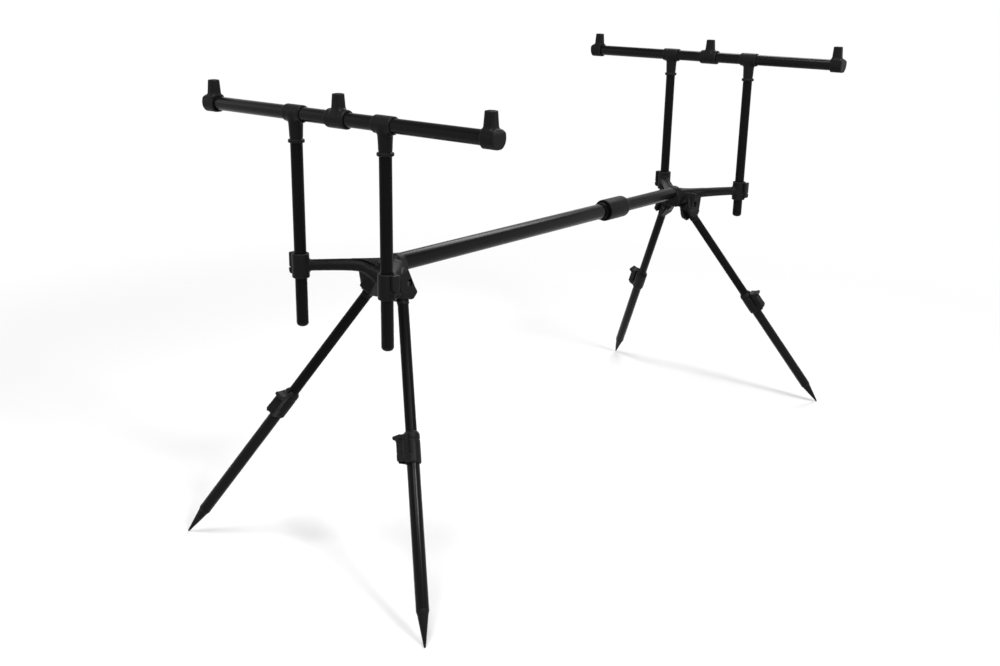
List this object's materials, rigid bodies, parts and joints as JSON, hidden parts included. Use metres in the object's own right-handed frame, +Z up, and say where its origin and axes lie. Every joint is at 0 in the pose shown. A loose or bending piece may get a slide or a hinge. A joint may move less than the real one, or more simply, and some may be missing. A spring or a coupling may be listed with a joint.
{
  "type": "rod pod",
  "caption": "Telescopic fishing-rod pod with folding, telescopic spiked legs and height-adjustable cross bars that carry threaded sockets for rod rests.",
  "frame": {"origin": "on the ground, midway between the four feet, under the middle of the main bar", "axes": "+Y along the main bar towards the rear hub, the one with the thinner tube; +X to the right when looking along +Y; +Z up"},
  "size_m": [0.512, 1.1106, 0.6655],
  "materials": {
    "black_anodised_tube": "satin black anodised",
    "black_nylon": "matt moulded, fine grain",
    "steel_pin": "brushed",
    "brass_thread": "turned"
  },
  "bodies": {
    "front_frame": {"main_outer_tube": "black_anodised_tube", "front_hub": "black_nylon", "front_hinge_bolts": "steel_pin", "front_collar_pins": "steel_pin", "lock_ferrule": "black_nylon", "lock_collet": "black_nylon"},
    "lock_sleeve": {"lock_sleeve": "black_nylon"},
    "rear_frame": {"main_inner_tube": "black_anodised_tube", "rear_hub": "black_nylon", "rear_hinge_bolts": "steel_pin", "rear_collar_pins": "steel_pin"},
    "front_bar": {"front_bar_tube": "black_anodised_tube", "front_left_upright": "black_anodised_tube", "front_right_upright": "black_anodised_tube", "front_tees": "black_nylon", "front_centre_socket": "black_nylon", "front_end_sockets": "black_nylon", "front_thread_inserts": "brass_thread", "front_upright_plugs": "black_nylon"},
    "front_left_collar_lever": {"front_left_collar_lever": "black_nylon"},
    "front_right_collar_lever": {"front_right_collar_lever": "black_nylon"},
    "front_left_leg_upper": {"front_left_leg_knuckle": "black_nylon", "front_left_leg_upper_tube": "black_anodised_tube"},
    "front_left_leg_lower": {"front_left_leg_clamp": "black_nylon", "front_left_leg_lower_tube": "black_anodised_tube", "front_left_leg_spike": "black_nylon", "front_left_leg_lever_pin": "steel_pin"},
    "front_left_leg_lever": {"front_left_leg_lever": "black_nylon"},
    "front_right_leg_upper": {"front_right_leg_knuckle": "black_nylon", "front_right_leg_upper_tube": "black_anodised_tube"},
    "front_right_leg_lower": {"front_right_leg_clamp": "black_nylon", "front_right_leg_lower_tube": "black_anodised_tube", "front_right_leg_spike": "black_nylon", "front_right_leg_lever_pin": "steel_pin"},
    "front_right_leg_lever": {"front_right_leg_lever": "black_nylon"},
    "rear_bar": {"rear_bar_tube": "black_anodised_tube", "rear_left_upright": "black_anodised_tube", "rear_right_upright": "black_anodised_tube", "rear_tees": "black_nylon", "rear_centre_socket": "black_nylon", "rear_end_sockets": "black_nylon", "rear_thread_inserts": "brass_thread", "rear_upright_plugs": "black_nylon"},
    "rear_left_collar_lever": {"rear_left_collar_lever": "black_nylon"},
    "rear_right_collar_lever": {"rear_right_collar_lever": "black_nylon"},
    "rear_left_leg_upper": {"rear_left_leg_knuckle": "black_nylon", "rear_left_leg_upper_tube": "black_anodised_tube"},
    "rear_left_leg_lower": {"rear_left_leg_clamp": "black_nylon", "rear_left_leg_lower_tube": "black_anodised_tube", "rear_left_leg_spike": "black_nylon", "rear_left_leg_lever_pin": "steel_pin"},
    "rear_left_leg_lever": {"rear_left_leg_lever": "black_nylon"},
    "rear_right_leg_upper": {"rear_right_leg_knuckle": "black_nylon", "rear_right_leg_upper_tube": "black_anodised_tube"},
    "rear_right_leg_lower": {"rear_right_leg_clamp": "black_nylon", "rear_right_leg_lower_tube": "black_anodised_tube", "rear_right_leg_spike": "black_nylon", "rear_right_leg_lever_pin": "steel_pin"},
    "rear_right_leg_lever": {"rear_right_leg_lever": "black_nylon"}
  },
  "joints": [
    {"name": "main_bar_slide", "type": "slide", "parent": "front_frame", "child": "rear_frame", "axis": [0, -1, 0], "range_m": [-0.12, 0.1]},
    {"name": "lock_twist", "type": "hinge", "parent": "front_frame", "child": "lock_sleeve", "pos_m": [0, 0.172, 0.4], "axis": [0, 1, 0], "range_deg": [0, 90]},
    {"name": "front_bar_height", "type": "slide", "parent": "front_frame", "child": "front_bar", "axis": [0, 0, -1], "range_m": [-0.06, 0.142]},
    {"name": "front_left_collar_lever_turn", "type": "hinge", "parent": "front_frame", "child": "front_left_collar_lever", "pos_m": [-0.0935, -0.458, 0.394], "axis": [0, -1, 0], "range_deg": [0, 100]},
    {"name": "front_right_collar_lever_turn", "type": "hinge", "parent": "front_frame", "child": "front_right_collar_lever", "pos_m": [0.0935, -0.458, 0.394], "axis": [0, 1, 0], "range_deg": [0, 100]},
    {"name": "front_left_leg_fold", "type": "hinge", "parent": "front_frame", "child": "front_left_leg_upper", "pos_m": [-0.023, -0.373, 0.374], "axis": [0.8746, 0, -0.4848], "range_deg": [0, 113]},
    {"name": "front_left_leg_slide", "type": "slide", "parent": "front_left_leg_upper", "child": "front_left_leg_lower", "axis": [0.4463, 0.3907, 0.8051], "range_m": [-0.025, 0.146]},
    {"name": "front_left_leg_lever_turn", "type": "hinge", "parent": "front_left_leg_lower", "child": "front_left_leg_lever", "pos_m": [-0.12337, -0.47815, 0.19293], "axis": [0.8746, 0, -0.4848], "range_deg": [0, 100]},
    {"name": "front_right_leg_fold", "type": "hinge", "parent": "front_frame", "child": "front_right_leg_upper", "pos_m": [0.023, -0.373, 0.374], "axis": [0.8746, 0, 0.4848], "range_deg": [0, 113]},
    {"name": "front_right_leg_slide", "type": "slide", "parent": "front_right_leg_upper", "child": "front_right_leg_lower", "axis": [-0.4463, 0.3907, 0.8051], "range_m": [-0.025, 0.146]},
    {"name": "front_right_leg_lever_turn", "type": "hinge", "parent": "front_right_leg_lower", "child": "front_right_leg_lever", "pos_m": [0.12337, -0.47815, 0.19293], "axis": [0.8746, 0, 0.4848], "range_deg": [0, 100]},
    {"name": "rear_bar_height", "type": "slide", "parent": "rear_frame", "child": "rear_bar", "axis": [0, 0, -1], "range_m": [-0.024, 0.178]},
    {"name": "rear_left_collar_lever_turn", "type": "hinge", "parent": "rear_frame", "child": "rear_left_collar_lever", "pos_m": [-0.0935, 0.458, 0.394], "axis": [0, -1, 0], "range_deg": [0, 100]},
    {"name": "rear_right_collar_lever_turn", "type": "hinge", "parent": "rear_frame", "child": "rear_right_collar_lever", "pos_m": [0.0935, 0.458, 0.394], "axis": [0, 1, 0], "range_deg": [0, 100]},
    {"name": "rear_left_leg_fold", "type": "hinge", "parent": "rear_frame", "child": "rear_left_leg_upper", "pos_m": [-0.023, 0.373, 0.374], "axis": [-0.8746, 0, 0.4848], "range_deg": [0, 113]},
    {"name": "rear_left_leg_slide", "type": "slide", "parent": "rear_left_leg_upper", "child": "rear_left_leg_lower", "axis": [0.4463, -0.3907, 0.8051], "range_m": [-0.025, 0.146]},
    {"name": "rear_left_leg_lever_turn", "type": "hinge", "parent": "rear_left_leg_lower", "child": "rear_left_leg_lever", "pos_m": [-0.14029, 0.46352, 0.1952], "axis": [-0.1894, -0.9205, -0.3417], "range_deg": [0, 100]},
    {"name": "rear_right_leg_fold", "type": "hinge", "parent": "rear_frame", "child": "rear_right_leg_upper", "pos_m": [0.023, 0.373, 0.374], "axis": [-0.8746, 0, -0.4848], "range_deg": [0, 113]},
    {"name": "rear_right_leg_slide", "type": "slide", "parent": "rear_right_leg_upper", "child": "rear_right_leg_lower", "axis": [-0.4463, -0.3907, 0.8051], "range_m": [-0.025, 0.146]},
    {"name": "rear_right_leg_lever_turn", "type": "hinge", "parent": "rear_right_leg_lower", "child": "rear_right_leg_lever", "pos_m": [0.14029, 0.46352, 0.1952], "axis": [-0.1894, 0.9205, 0.3417], "range_deg": [0, 100]}
  ]
}
